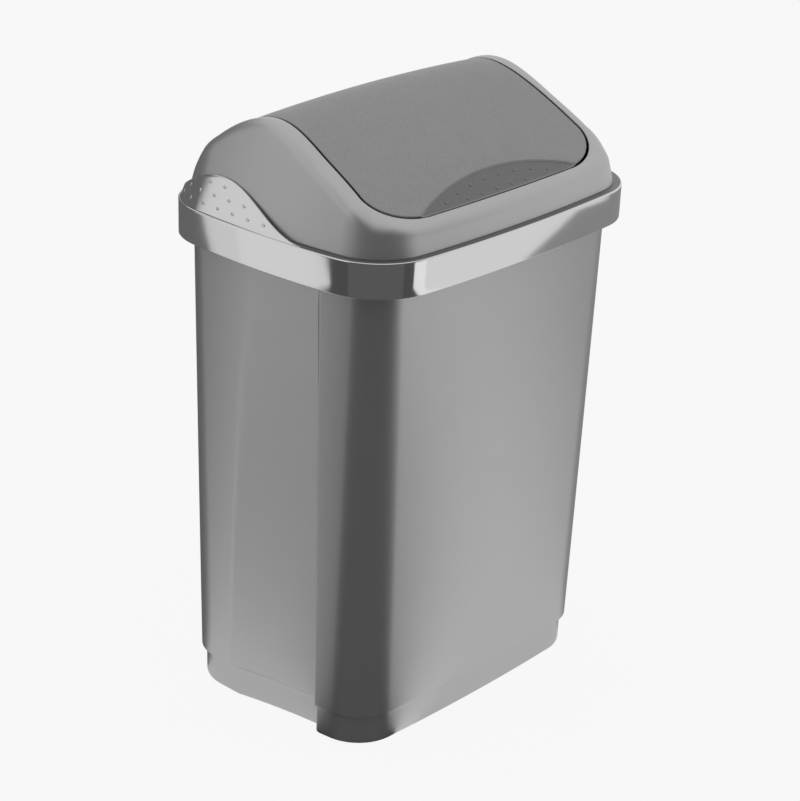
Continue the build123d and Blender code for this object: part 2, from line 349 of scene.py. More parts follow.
# %% Smooth curve through a few heights
def smooth_curve(knots, values, at):
    """Natural cubic spline: cubic pieces that agree in slope and bend, with no bend at the two ends."""
    knots, values = np.array(knots, float), np.array(values, float)
    step = np.diff(knots)
    slope = np.diff(values) / step
    system = np.diag(np.full(len(knots), 1.0))
    right_side = np.zeros(len(knots))
    inner = np.arange(1, len(knots) - 1)
    system[inner, inner - 1] = step[:-1]
    system[inner, inner] = 2 * (step[:-1] + step[1:])
    system[inner, inner + 1] = step[1:]
    right_side[1:-1] = 6 * np.diff(slope)
    bend = np.linalg.solve(system, right_side)
    piece = np.clip(np.searchsorted(knots, at) - 1, 0, len(step) - 1)
    before, after = at - knots[piece], knots[piece + 1] - at
    width = step[piece]
    return (
        (bend[piece] * after ** 3 + bend[piece + 1] * before ** 3) / (6 * width)
        + (values[piece] / width - bend[piece] * width / 6) * after
        + (values[piece + 1] / width - bend[piece + 1] * width / 6) * before
    )


CREST_Y = 22.0
SIDE_VIEW_Y = (-150.0, -118.0, -85.0, -32.0, CREST_Y, 58.0, 96.0, 124.0, 145.0)
HOOD_END_Z = (408.0, 445.0, 472.0, 496.5, 513.5, 502.5, 471.5, 436.0, 405.0)
HOOD_MIDDLE_Z = (428.0, 448.0, 467.0, 498.0, 514.5, 501.0, 471.0, 436.0, 405.0)
FLAP_Y = (-140.0, -104.0, -74.0, -32.0, CREST_Y, 58.0, 96.0, 140.0)
FLAP_Z = (427.0, 453.0, 473.0, 496.0, 513.4, 500.5, 468.0, 415.0)
CROWN = 5.3
CROWN_HALF_X = 150.0


def hood_roof(x, y):
    """Height of the hood's top: its middle side view, turning into its end side view with the square of x."""
    end = smooth_curve(SIDE_VIEW_Y, HOOD_END_Z, y)
    middle = smooth_curve(SIDE_VIEW_Y, HOOD_MIDDLE_Z, y)
    return middle + (end - middle) * np.minimum((x / CROWN_HALF_X) ** 2, 1)


def flap_roof(x, y):
    """Height of the flap's top: its side view, lowered towards the ends with the square of x."""
    return smooth_curve(FLAP_Y, FLAP_Z, y) - CROWN * (x / CROWN_HALF_X) ** 2


# %% [markdown]
# ## The flap's edge
# The flap is waisted where it turns and widens to the front, where a hand pushes it. Towards the front and
# the back its edge runs further out as it rises, which gives its long corners their sweep. The same loop,
# made wider by the gap, is the edge of the opening in the hood, so the gap is even all the way round.

# %% Edge of the flap
FLAP_FRONT_Y = -102.8
FLAP_FRONT_BOW = 2.0
FLAP_BACK_Y = 85.0
FLAP_SHOULDER_X = 133.5
FLAP_TAIL_X = 130.5
FLAP_FRONT_CORNER = 50.0
FLAP_BACK_CORNER = 22.0
FLAP_SIDE_Y = (-64.0, -32.0, 14.0, 63.0)
FLAP_SIDE_X = (133.5, 130.8, 126.5, 130.5)
FRONT_LEAN = math.tan(math.radians(27))
BACK_LEAN = math.tan(math.radians(12))
FLAP_GAP = 2.5
QUARTER_TURN_LENGTH = 1.6
BACK_LENGTH = 100.0
SETTLING_ROUNDS = 6


def edge_loop(grow, spacing_front, spacing_side):
    """Closed loop of the flap's edge, made wider by `grow`: x, y and the height of the flap's top there.

    The right half runs along the front, round the corner, along the waisted end, round the back corner and
    along the back. The left half is its mirror. The lean moves a point along y by lean x height, and the
    height depends on y, so a few rounds settle the two.
    """
    corner, back_corner = FLAP_FRONT_CORNER + grow, FLAP_BACK_CORNER + grow
    shoulder, tail = FLAP_SHOULDER_X + grow, FLAP_TAIL_X + grow
    front_y, back_y = FLAP_FRONT_Y - grow, FLAP_BACK_Y + grow
    count = int((shoulder - corner) / spacing_front)
    straight_x = np.linspace(0, shoulder - corner, count, endpoint=False)
    bow = FLAP_FRONT_BOW * (straight_x / (shoulder - corner)) ** 2
    corner_depth = FLAP_SIDE_Y[0] - front_y - FLAP_FRONT_BOW
    corner_count = int(corner * QUARTER_TURN_LENGTH / spacing_side)
    bend = np.linspace(-math.pi / 2, 0, corner_count, endpoint=False)
    side_count = int((FLAP_SIDE_Y[-1] - FLAP_SIDE_Y[0]) / spacing_side)
    side_y = np.linspace(FLAP_SIDE_Y[0], FLAP_SIDE_Y[-1], side_count, endpoint=False)
    side_x = smooth_curve(FLAP_SIDE_Y, FLAP_SIDE_X, side_y) + grow
    back_corner_count = int(back_corner * QUARTER_TURN_LENGTH / spacing_side)
    back_bend = np.linspace(0, math.pi / 2, back_corner_count, endpoint=False)
    back_x = np.linspace(tail - back_corner, 0, int(BACK_LENGTH / spacing_side))
    half_x = np.concatenate([
        straight_x,
        shoulder - corner + corner * np.cos(bend),
        side_x,
        tail - back_corner + back_corner * np.cos(back_bend),
        back_x,
    ])
    half_y = np.concatenate([
        front_y + bow,
        FLAP_SIDE_Y[0] + corner_depth * np.sin(bend),
        side_y,
        back_y - back_corner + back_corner * np.sin(back_bend),
        np.full(len(back_x), back_y),
    ])
    x = np.concatenate([half_x, -half_x[-2:0:-1]])
    flat_y = np.concatenate([half_y, half_y[-2:0:-1]])
    to_front = smooth_step((FLAP_SIDE_Y[1] - flat_y) / (FLAP_SIDE_Y[1] - FLAP_SIDE_Y[0]))
    to_back = smooth_step((flat_y - FLAP_SIDE_Y[2]) / (FLAP_SIDE_Y[3] - FLAP_SIDE_Y[2]))
    lean = BACK_LEAN * to_back - FRONT_LEAN * to_front
    y = flat_y
    for _ in range(SETTLING_ROUNDS):
        y = flat_y + lean * (flap_roof(x, y) - FLAP_Z[1])
    return x, y, flap_roof(x, y)


flap_edge = edge_loop(grow=0.0, spacing_front=1.2, spacing_side=2.2)
print("flap edge", len(flap_edge[0]), "points, front at", round(float(flap_edge[1].min()), 1))

# %% [markdown]
# ## The hood
# The hood is a thin shell that stands on the collar's ledge. Its walls lean in, its top is domed, and a
# soft round joins the two. Both are known as distances: how far a point is outside the wall and how far
# above the roof. Where the two distances, each shortened by the round's radius, make a circle of that
# radius, there is the surface. That is solved for the height at all points at once, by halving an interval.

# %% Distances from the collar's outline
def place_in_outline(x, y):
    """Direction and inset of points seen from above.

    The inset is the radius of the outline's nearest arc less the distance from that arc's centre, and the
    direction is the angle about that centre. Both are found in one quarter and then turned back.
    """
    shape = collar_outline
    fold_x, fold_y = np.abs(x), np.abs(y)
    about_corner = np.arctan2(fold_y - shape.corner_y, fold_x - shape.corner_x)
    side_turn = np.arctan2(fold_y, fold_x - shape.side_middle)
    front_turn = np.arctan2(fold_y - shape.front_middle, fold_x)
    side_inset = shape.side_radius - np.hypot(fold_x - shape.side_middle, fold_y)
    front_inset = shape.front_radius - np.hypot(fold_x, fold_y - shape.front_middle)
    corner_inset = shape.corner - np.hypot(fold_x - shape.corner_x, fold_y - shape.corner_y)
    beyond = (fold_x > shape.corner_x) | (fold_y > shape.corner_y)
    in_corner = (about_corner > shape.side_turn) & (about_corner < shape.front_turn) & beyond
    nearer_side = side_inset < front_inset
    fold = np.where(in_corner, about_corner, np.where(nearer_side, side_turn, front_turn))
    inset = np.where(in_corner, corner_inset, np.where(nearer_side, side_inset, front_inset))
    tiny = 1e-9
    turn = np.arctan2(np.sin(fold) * np.sign(y + tiny), np.cos(fold) * np.sign(x + tiny))
    return turn, inset


# %% [markdown]
# ## The lip round the opening
# Seen from above, each column of the hood's grid runs straight in from the hood's foot to one point of the
# opening's edge. So everything that changes round the hood is a value for each column: how far in it
# reaches, how much its wall leans, how round its shoulder is, and how the lip in front of the flap falls
# away from the gap.

# %% Lip round the opening
HOOD_LEAN_SIDE = 14.0
HOOD_LEAN_FRONT = 17.0
HOOD_ROUND_MOST = 12.0
HOOD_ROUND_LEAST = 6.0
ROUND_SHARE = 0.35
LIP_FALL_SIDE = -0.05
LIP_FALL_CORNER = 0.22
LIP_FALL_FRONT = 0.33
LIP_BACK_Y = 10.0
LIP_BLEND = 50.0
CORNER_BLEND = (10.0, 35.0)
FRONT_BLEND = (45.0, 40.0)
opening_x, opening_y, opening_z = edge_loop(grow=FLAP_GAP, spacing_front=2.0, spacing_side=1.6)
opening_turn, opening_inset = place_in_outline(opening_x, opening_y)
hood_reach = opening_inset - LEDGE
foot_x, foot_y = collar_outline.point(opening_turn, LEDGE)
foot_roof = hood_roof(foot_x, foot_y)
hood_round = np.clip(ROUND_SHARE * (foot_roof - COLLAR_TOP), HOOD_ROUND_LEAST, HOOD_ROUND_MOST)
fold = np.degrees(np.arctan2(np.abs(np.sin(opening_turn)), np.abs(np.cos(opening_turn))))
past_corner = smooth_step((fold - CORNER_BLEND[0]) / CORNER_BLEND[1])
past_front = smooth_step((fold - FRONT_BLEND[0]) / FRONT_BLEND[1])
to_front = past_front * (opening_y < 0)
hood_lean = np.radians(HOOD_LEAN_SIDE + (HOOD_LEAN_FRONT - HOOD_LEAN_SIDE) * to_front)
lip_fall = LIP_FALL_SIDE + (LIP_FALL_CORNER - LIP_FALL_SIDE) * past_corner
lip_fall += (LIP_FALL_FRONT - LIP_FALL_CORNER) * past_front
has_lip = smooth_step((LIP_BACK_Y - opening_y) / LIP_BLEND)
print("hood reaches in", hood_reach.min().round(1), "to", hood_reach.max().round(1), "mm")

# %% [markdown]
# ## The height of the hood
# At each place seen from above, the surface is where a point stops being outside the rounded shell. Halving
# an interval finds that height for all points at once, to far less than a hair's breadth.

# %% Height of the hood
SINK_WIDTH = 13.0
HOOD_LIP = 0.4
SEARCH_BELOW = 20.0
SEARCH_ABOVE = 5.0
HALVINGS = 44
SLOPE_STEP = 0.5


def hood_height(x, y, inside, to_edge, radius, lean, thickness):
    """Height of the rounded shell, `thickness` under its outer surface.

    One distance is measured out from the leaning wall, the other up from the roof. With the round's radius
    added to both, a point is outside where the hypotenuse of their positive parts is longer than the radius.
    """
    rise = hood_roof(x, y + SLOPE_STEP) - hood_roof(x, y - SLOPE_STEP)
    slope = rise / (2 * SLOPE_STEP) * (1 - has_lip[None, :])
    upright = 1 / np.hypot(1, slope)
    near_flap = flap_roof(x, y) + HOOD_LIP
    roof = near_flap + (hood_roof(x, y) - near_flap) * smooth_step(to_edge / SINK_WIDTH)
    front_roof = opening_z[None, :] + HOOD_LIP - lip_fall[None, :] * to_edge
    roof = roof + has_lip[None, :] * (front_roof - roof)
    low, high = np.full(x.shape, COLLAR_TOP - SEARCH_BELOW), roof + SEARCH_ABOVE
    for _ in range(HALVINGS):
        z = (low + high) / 2
        wall_out = ((z - COLLAR_TOP) * np.tan(lean) - inside) * np.cos(lean) + thickness
        roof_out = (z - roof) * upright + thickness
        first, second = wall_out + radius, roof_out + radius
        both_out = np.hypot(np.maximum(first, 0), np.maximum(second, 0))
        outside = both_out + np.minimum(np.maximum(first, second), 0)
        high = np.where(outside > radius, z, high)
        low = np.where(outside > radius, low, z)
    return np.maximum(z, COLLAR_TOP)


# %% [markdown]
# ## The hood's shell
# The grid's rows climb the outside from the foot to the opening, turn over its soft edge, run down the
# flange that stiffens it, and come back along the inside. The last row joins the first, so the shell is
# closed.

# %% Hood
HOOD_WALL = 2.2
OPENING_ROUND = 0.9
FLANGE_DEPTH = 9.0
FLANGE_WALL = 1.8
FLANGE_ROUND = 0.5
ROW_CROWDING = 1.15
OUTER_ROWS = 60
INNER_ROWS = 40


def hood_rows(shares, start, end, thickness):
    """Rows of the shell between two insets from the hood's foot, at shares of the way."""
    inside = start + np.asarray(shares)[:, None] * (end - start)[None, :]
    x, y = collar_outline.point(opening_turn[None, :], LEDGE + inside)
    to_edge = hood_reach[None, :] - inside
    z = hood_height(x, y, inside, to_edge, hood_round[None, :], hood_lean[None, :], thickness)
    return np.stack([x, y, z], -1)


def ring_at(inside, z):
    """One row at an inset from the hood's foot and a height."""
    x, y = collar_outline.point(opening_turn, LEDGE + inside)
    return np.stack([x, y, np.broadcast_to(z, x.shape)], -1)[None]


climbing = np.linspace(0, 1, OUTER_ROWS) ** ROW_CROWDING
outer = hood_rows(climbing, np.zeros_like(hood_reach), hood_reach - OPENING_ROUND, 0.0)
edge_z = outer[-1, :, 2]
lip = [
    ring_at(hood_reach - OPENING_ROUND * (1 - math.sin(a)), edge_z - OPENING_ROUND * (1 - math.cos(a)))
    for a in np.radians([18, 36, 54, 72, 90])
]
flange_foot = edge_z - FLANGE_DEPTH
flange = [
    ring_at(hood_reach, flange_foot + FLANGE_ROUND),
    ring_at(hood_reach - FLANGE_ROUND, flange_foot),
    ring_at(hood_reach - FLANGE_WALL + FLANGE_ROUND, flange_foot),
    ring_at(hood_reach - FLANGE_WALL, flange_foot + FLANGE_ROUND),
]
returning = np.linspace(1, 0, INNER_ROWS) ** ROW_CROWDING
inner = hood_rows(returning, np.full_like(hood_reach, HOOD_WALL), hood_reach - FLANGE_WALL, HOOD_WALL)
hood = join_grid("hood_shell", np.concatenate([outer, *lip, *flange, inner]), wrap_rows=True)
print("hood top", round(float(outer[..., 2].max()), 1), "mm")

# %% [markdown]
# ## Pivot lugs, ears and pins
# The flap turns on two stub pins moulded on ears under its ends. On the real lid each pin runs in a bored
# lug that hangs from the hood. The bore can't be seen, so here the lug is a plain plate and the pin ends
# just short of it. Ears and lugs are flat, so each is a round-ended outline in the side view, carried a few
# millimetres along x.

# %% Lugs, ears and pins
PIN_RADIUS = 3.0
PIN_CHAMFER = 0.5
PIN_ROOT = 1.0
PIN_END_GAP = 0.2
PIN_SIDES = 40
LUG_HALF = 6.0
LUG_BELOW = 5.0
LUG_INNER_X = 128.1
LUG_WIDTH = 8.0
EAR_HALF = 7.0
EAR_BELOW = 4.0
EAR_INNER_X = 121.5
EAR_WIDTH = 3.5
SHELL_BELOW_ROOF = 1.5
SWING_RADIUS = 6.8
RIM_SHRINK = 0.94
RIM_STEP = 0.3
PLATE_FOOT_POINTS = 24
PLATE_TOP_POINTS = 9


def plate_loop(half, below, top_at):
    """Side view of a plate: straight sides, a round foot under the pivot and a top that follows `top_at`."""
    bend = np.linspace(math.pi, 2 * math.pi, PLATE_FOOT_POINTS)
    foot = np.stack([pivot_y + half * np.cos(bend), pivot_z + below * np.sin(bend)], -1)
    top_y = np.linspace(pivot_y + half, pivot_y - half, PLATE_TOP_POINTS)
    top = np.stack([top_y, top_at(top_y)], -1)
    return np.concatenate([foot, top])


def slab(name, loop, start_x, end_x):
    """Closed plate: a loop in the side view carried from one x to another, drawn in a little at its rims."""
    middle = loop.mean(0)
    places = ((start_x, RIM_SHRINK), (start_x + RIM_STEP, 1.0), (end_x - RIM_STEP, 1.0), (end_x, RIM_SHRINK))
    places = ((start_x, 0.0), *places, (end_x, 0.0))
    rows = [np.column_stack([np.full(len(loop), x), middle + (loop - middle) * share]) for x, share in places]
    return join_grid(name, np.stack(rows), start_pole=True, end_pole=True)


def pin(name, start_x, end_x):
    """Round stub along x on the pivot: a circle at each place, with a chamfered end."""
    turn = np.linspace(0, 2 * math.pi, PIN_SIDES, endpoint=False)
    places = (
        (start_x, 0.0), (start_x, PIN_RADIUS),
        (end_x - PIN_CHAMFER, PIN_RADIUS), (end_x, PIN_RADIUS - PIN_CHAMFER), (end_x, 0.0),
    )
    rows = []
    for x, radius in places:
        circle_y, circle_z = pivot_y + radius * np.cos(turn), pivot_z + radius * np.sin(turn)
        rows.append(np.stack([np.full_like(turn, x), circle_y, circle_z], -1))
    return join_grid(name, np.stack(rows), start_pole=True, end_pole=True)


def lug_top(y):
    """Under the roof, and inside the circle that the flap's shell sweeps clear of as it turns."""
    clear = pivot_z + np.sqrt(SWING_RADIUS ** 2 - (y - pivot_y) ** 2)
    shell = flap_roof(np.full_like(y, LUG_INNER_X + LUG_WIDTH), y) - SHELL_BELOW_ROOF
    return np.minimum(shell, clear)


def ear_top(y):
    """Just inside the flap's shell, so that the ear grows out of it."""
    return flap_roof(np.full_like(y, EAR_INNER_X + EAR_WIDTH), y) - SHELL_BELOW_ROOF


lugs, ears = [], []
for side, word in ((-1, "left"), (1, "right")):
    lug = plate_loop(LUG_HALF, LUG_BELOW, lug_top)
    ear = plate_loop(EAR_HALF, EAR_BELOW, ear_top)
    lugs.append(slab(f"hood_lug_{word}", lug, side * LUG_INNER_X, side * (LUG_INNER_X + LUG_WIDTH)))
    ears.append(slab(f"swing_flap_ear_{word}", ear, side * EAR_INNER_X, side * (EAR_INNER_X + EAR_WIDTH)))
    pin_start, pin_end = side * (EAR_INNER_X + PIN_ROOT), side * (LUG_INNER_X - PIN_END_GAP)
    ears.append(pin(f"swing_flap_pin_{word}", pin_start, pin_end))

# %% [markdown]
# ## The flap
# The flap's surface runs out from its middle to its edge like the rings of a pond: each column is a ray
# from the middle to one point of the edge. The push area is a slice of a circle at the front, sunk by about
# a millimetre and a half. The rays to the front cross the slice's arc, and the rings are bent so that a few
# of them follow that arc closely. That keeps its little wall crisp without a dense mesh.

# %% Flap
FLAP_THICKNESS = 2.2
FLAP_EDGE_ROUND = 0.8
PUSH_HALF_WIDTH = 104.0
PUSH_REACH = 19.5
PUSH_DEPTH = 1.6
PUSH_WALL = 0.9
PUSH_RADIUS = (PUSH_HALF_WIDTH ** 2 + PUSH_REACH ** 2) / (2 * PUSH_REACH)
PUSH_CENTRE_Y = FLAP_FRONT_Y + PUSH_REACH - PUSH_RADIUS
FLAP_MIDDLE_Y = -8.0
LAST_CROSSING = 0.975
WALL_SPREAD = 0.6
WALL_MARGIN = 0.8
UNDER_INSET = 1.5
UNDER_STEP = 0.3
RINGS_TO_ARC = 26
RINGS_ON_WALL = 9
RINGS_TO_EDGE = 9
RINGS_UNDER = 22


def push_drop(x, y):
    """How far the push area sinks: smooth step over its wall's width, measured in from the arc."""
    inside = PUSH_RADIUS - np.hypot(x, y - PUSH_CENTRE_Y)
    return PUSH_DEPTH * smooth_step(inside / PUSH_WALL + 0.5)


edge_x, edge_y, _ = flap_edge
ray_x, ray_y = edge_x, edge_y - FLAP_MIDDLE_Y
ray_length = np.hypot(ray_x, ray_y)
from_centre_y = FLAP_MIDDLE_Y - PUSH_CENTRE_Y
half_b = ray_y * from_centre_y
root = half_b ** 2 - ray_length ** 2 * (from_centre_y ** 2 - PUSH_RADIUS ** 2)
crossing = np.where(root > 0, (-half_b - np.sqrt(np.maximum(root, 0))) / ray_length ** 2, 1.0)
crossing = np.where((crossing > 0) & (crossing < LAST_CROSSING), crossing, LAST_CROSSING)
wall_share = PUSH_WALL / ray_length
inner_share = np.linspace(0, 1, RINGS_TO_ARC)[:, None] * (crossing - WALL_MARGIN * wall_share)[None, :]
wall_rows = crossing + np.linspace(-WALL_SPREAD, WALL_SPREAD, RINGS_ON_WALL)[:, None] * wall_share
last_share = 1 - FLAP_EDGE_ROUND / ray_length
start_outer = crossing + WALL_MARGIN * wall_share
outer_share = start_outer + np.linspace(0, 1, RINGS_TO_EDGE)[:, None] * (last_share - start_outer)
share = np.concatenate([inner_share, wall_rows, outer_share])
top_x, top_y = share * ray_x, FLAP_MIDDLE_Y + share * ray_y
top = np.stack([top_x, top_y, flap_roof(top_x, top_y) - push_drop(top_x, top_y)], -1)
rim_z = top[-1, :, 2]
turned_rows = []
for a in np.radians([22, 45, 68, 90]):
    step = FLAP_EDGE_ROUND * (1 - math.sin(a)) / ray_length
    drop = FLAP_EDGE_ROUND * (1 - math.cos(a))
    row_x, row_y = (1 - step) * ray_x, FLAP_MIDDLE_Y + (1 - step) * ray_y
    turned_rows.append(np.stack([row_x, row_y, rim_z - drop], -1)[None])
turned_rows.append(np.stack([edge_x, edge_y, rim_z - FLAP_THICKNESS], -1)[None])
under_share = np.linspace(1, 0, RINGS_UNDER)[:, None] * (1 - UNDER_INSET / ray_length)
under_x, under_y = under_share * ray_x, FLAP_MIDDLE_Y + under_share * ray_y
under_z = flap_roof(under_x, under_y) - FLAP_THICKNESS - UNDER_STEP
under = np.stack([under_x, under_y, under_z], -1)
flap_points = np.concatenate([top, *turned_rows, under])
flap = join_grid("swing_flap_plate", flap_points, start_pole=True, end_pole=True)

in_push = smooth_step((PUSH_RADIUS - np.hypot(top_x, top_y - PUSH_CENTRE_Y)) / PUSH_WALL + 0.5)
hidden_rows = len(turned_rows) + len(under) - 1
push_values = np.concatenate([in_push[1:].ravel(), np.zeros(hidden_rows * len(edge_x) + 2)])
set_mask(flap, "second_tone", push_values)

# %% [markdown]
# ## Grip dots
# Small domes stand in staggered rows on the two wings and in the push area, so that a damp finger holds.
# Each is a squashed ball sunk to its middle in the surface. All the dots of one area are one piece: the
# ball's rings are worked out once and then set at every place, square to the surface there.

# %% Grip dots
DOT_RADIUS = 1.5
DOT_HEIGHT = 0.5
DOT_LAST_RING = 68.0
DOT_SIDES = 14
DOT_RINGS = 7


def dots(name, centres, normals):
    """Squashed balls, for every centre at once.

    A point is centre + radius x cos rise x (cos turn x across + sin turn x along)
    + height x sin rise x normal. The rings stop short of the two poles, which are closed with fans.
    """
    turn = np.linspace(0, 2 * math.pi, DOT_SIDES, endpoint=False)
    rise = np.radians(np.linspace(-DOT_LAST_RING, DOT_LAST_RING, DOT_RINGS))
    normals = normals / np.linalg.norm(normals, axis=1)[:, None]
    across = np.cross(normals, [0.0, 1.0, 0.0])
    across /= np.linalg.norm(across, axis=1)[:, None]
    along = np.cross(normals, across)
    flat = np.cos(rise)[:, None, None] * np.stack([np.cos(turn), np.sin(turn)], -1)[None]
    rings = (
        centres[:, None, None]
        + DOT_RADIUS * flat[None, ..., :1] * across[:, None, None]
        + DOT_RADIUS * flat[None, ..., 1:] * along[:, None, None]
        + DOT_HEIGHT * np.sin(rise)[None, :, None, None] * normals[:, None, None]
    )
    poles = centres[:, None] + DOT_HEIGHT * np.array([[-1.0], [1.0]]) * normals[:, None]
    index = np.arange(rings[..., 0].size).reshape(rings.shape[:3])
    after = np.roll(index, -1, 2)
    pole = index.size + np.arange(2 * len(centres)).reshape(-1, 2, 1) + np.zeros(len(turn), int)
    quads = np.stack([index[:, :-1], after[:, :-1], after[:, 1:], index[:, 1:]], -1)
    low_cap = np.stack([after[:, 0], index[:, 0], pole[:, 0]], -1)
    high_cap = np.stack([index[:, -1], after[:, -1], pole[:, 1]], -1)
    points = np.concatenate([rings.reshape(-1, 3), poles.reshape(-1, 3)])
    faces = quads.reshape(-1, 4).tolist()
    faces += low_cap.reshape(-1, 3).tolist()
    faces += high_cap.reshape(-1, 3).tolist()
    return new_piece(name, points, faces)


DOT_PITCH = 17.3
DOT_ROWS = ((7.0, 0.0), (15.2, 7.5), (23.5, -1.5))
DOT_FIRST_Y = -2.0
DOT_MARGIN = 4.5


def wing_dots(side):
    """Dots in rows along the wing, kept where the wing stands higher than the dot by a margin."""
    fine, y, length = wing_run()
    peak = np.interp(WING_PEAK_Y, y, length)
    first = np.interp(DOT_FIRST_Y, y, length)
    places, facing = [], []
    for rise, shift in DOT_ROWS:
        where = first + shift + DOT_PITCH * np.arange(-2, 9)
        turn = np.interp(where, length, fine)
        height = wing_height(np.interp(where, length, y), where - peak)
        turn = turn[height > rise + DOT_MARGIN]
        x_dot, y_dot = collar_outline.point(turn, WING_INSET + rise * WING_LEAN)
        places.append(np.stack([side * x_dot, y_dot, np.full_like(x_dot, COLLAR_TOP + rise)], -1))
        facing.append(np.stack([side * np.cos(turn), np.sin(turn), np.full_like(turn, WING_LEAN)], -1))
    word = "right" if side > 0 else "left"
    return dots(f"gloss_collar_dots_{word}", np.concatenate(places), np.concatenate(facing))


PUSH_DOT_PITCH = 18.0
PUSH_DOT_START_X = (-63.0, -40.0)
PUSH_DOT_COUNT = (8, 5)
PUSH_DOT_UNDER_ARC = 6.3
PUSH_DOT_LOW_Y = -99.2
DOT_SHADE = 0.8
push_rows = zip(PUSH_DOT_START_X, PUSH_DOT_COUNT)
push_x = np.concatenate([start + PUSH_DOT_PITCH * np.arange(count) for start, count in push_rows])
arc_y = PUSH_CENTRE_Y + np.sqrt(PUSH_RADIUS ** 2 - push_x ** 2)
on_first_row = np.arange(len(push_x)) < PUSH_DOT_COUNT[0]
push_y = np.where(on_first_row, arc_y - PUSH_DOT_UNDER_ARC, PUSH_DOT_LOW_Y)
push_z = flap_roof(push_x, push_y) - PUSH_DEPTH
push_rise = flap_roof(push_x, push_y + SLOPE_STEP) - flap_roof(push_x, push_y - SLOPE_STEP)
slope_y = push_rise / (2 * SLOPE_STEP)
push_normals = np.stack([np.zeros_like(push_x), -slope_y, np.ones_like(push_x)], -1)
push_dots = dots("swing_flap_dots", np.stack([push_x, push_y, push_z], -1), push_normals)
set_mask(push_dots, "second_tone", np.full(len(push_dots.data.vertices), DOT_SHADE))
grip_dots = [wing_dots(side) for side in (-1, 1)]

# %% [markdown]
# ## The bucket
# The bucket is one skin: it starts at the middle of the floor's underside, turns up round the foot, steps
# out, climbs the tapered wall, turns out and down for the rim, then goes back over the rim and down inside
# to the middle of the floor. Each row of the grid is the bin's outline at that height. Low on each side the
# wall is sunk behind the front corner, and the step there is drawn by packing columns close together.

# %% Bucket sizes and rows
FOOT_HALF = (145.2, 101.85)
FOOT_HEIGHT = 28.0
FOOT_STEP = 2.8
FOOT_ROUND = 4.5
BASE_CORNER = 38.0
BASE_BOW = (5.0, 4.4)
MOUTH_HALF = (156.8, 114.45)
MOUTH_CORNER = 33.0
BUCKET_DRAFT = math.tan(math.radians(0.9))
BUCKET_WALL = 2.2
BUCKET_FLOOR = 2.6
RECESS_Y = (-48.0, 0.0, 46.0)
RECESS_FOOT_X = (134.8, 138.8, 146.5)
RECESS_MOUTH_X = (155.0, 156.6, 158.0)
RECESS_STEP = 3.2
RECESS_FOOT_IN = 1.0
RIM_INSET = 2.9
RIM_LIP = 2.0
RIM_LIP_DEPTH = 11.0
RIM_THICKNESS = 2.4
RECESS_RUN_OUT = 8.0
SIDE_WALL_X = 100.0
FRONT_COLUMNS = 30
CORNER_COLUMNS = 30


def parabola(knots, values, at):
    """The one parabola through three points (Lagrange's formula)."""
    a, b, c = knots
    return (
        values[0] * (at - b) * (at - c) / ((a - b) * (a - c))
        + values[1] * (at - a) * (at - c) / ((b - a) * (b - c))
        + values[2] * (at - a) * (at - b) / ((c - a) * (c - b))
    )


SIDE_FINE = np.concatenate([
    np.linspace(-57, -54.5, 3),
    np.linspace(-54, -46.5, 16),
    np.linspace(-45.5, -38, 5),
    np.linspace(-35, 36, 16),
    np.linspace(39, 56, 8),
])


def steps(count):
    """Shares from 0 up to but not including 1, as a row."""
    return np.linspace(0, 1, count, endpoint=False)[None, :]


def bucket_half(shape, inset):
    """Right half of an outline, front middle to back middle, with columns at fixed places along the side."""
    front_turn, side_turn = shape.front_turn, shape.side_turn
    side = np.arcsin(SIDE_FINE[None, :] / (shape.side_radius - inset))
    turns = np.concatenate([
        -math.pi / 2 + steps(FRONT_COLUMNS) * (math.pi / 2 - front_turn),
        -front_turn + steps(CORNER_COLUMNS) * (front_turn - side_turn),
        -side_turn + steps(4) * (side[:, :1] + side_turn),
        side,
        side[:, -1:] + steps(5)[:, 1:] * (side_turn - side[:, -1:]),
        side_turn + steps(CORNER_COLUMNS) * (front_turn - side_turn),
        front_turn + np.linspace(0, 1, FRONT_COLUMNS + 1)[None, :] * (math.pi / 2 - front_turn),
    ], 1)
    return shape.point(turns, inset)


def whole_rows(half_x, half_y, z):
    """Rows all the way round from their right halves: the left half is the same points with -x."""
    x = np.concatenate([half_x, -half_x[:, -2:0:-1]], 1)
    y = np.concatenate([half_y, half_y[:, -2:0:-1]], 1)
    return np.stack([x, y, np.broadcast_to(z, x.shape)], -1)


def as_columns(*given):
    """The given numbers as columns of one length, one number for each row."""
    return np.broadcast_arrays(*(np.asarray(numbers, float).reshape(-1, 1) for numbers in given))


def bucket_rows(z, inset, is_foot, scale=1.0):
    """Rows of the bucket: its outline at each height, brought in, sunk at the sides and scaled inwards."""
    z, inset, scale = as_columns(z, inset, scale)
    share = z / RIM_TOP
    half = []
    for axis in (0, 1):
        foot = FOOT_HALF[axis] + z * BUCKET_DRAFT
        wall_start = FOOT_HALF[axis] + FOOT_STEP
        wall = wall_start + share * (MOUTH_HALF[axis] - wall_start)
        half.append(foot if is_foot else wall)
    bow = tuple(BASE_BOW[i] + share * (COLLAR_BOW[i] - BASE_BOW[i]) for i in (0, 1))
    shape = Outline(half[0], half[1], BASE_CORNER + share * (MOUTH_CORNER - BASE_CORNER), bow)
    x, y = bucket_half(shape, inset)
    fade = smooth_step((y - RECESS_Y[0] + inset + RECESS_STEP) / RECESS_STEP)
    low = parabola(RECESS_Y, RECESS_FOOT_X, y) - (RECESS_FOOT_IN if is_foot else 0.0)
    high = parabola(RECESS_Y, RECESS_MOUTH_X, y)
    sunk = low + share * (high - low) - inset
    in_reach = (y < RECESS_Y[2] + RECESS_RUN_OUT) & (x > SIDE_WALL_X)
    x = np.where(in_reach, x + fade * (np.minimum(x, sunk) - x), x)
    return whole_rows(x * scale, y * scale, z)


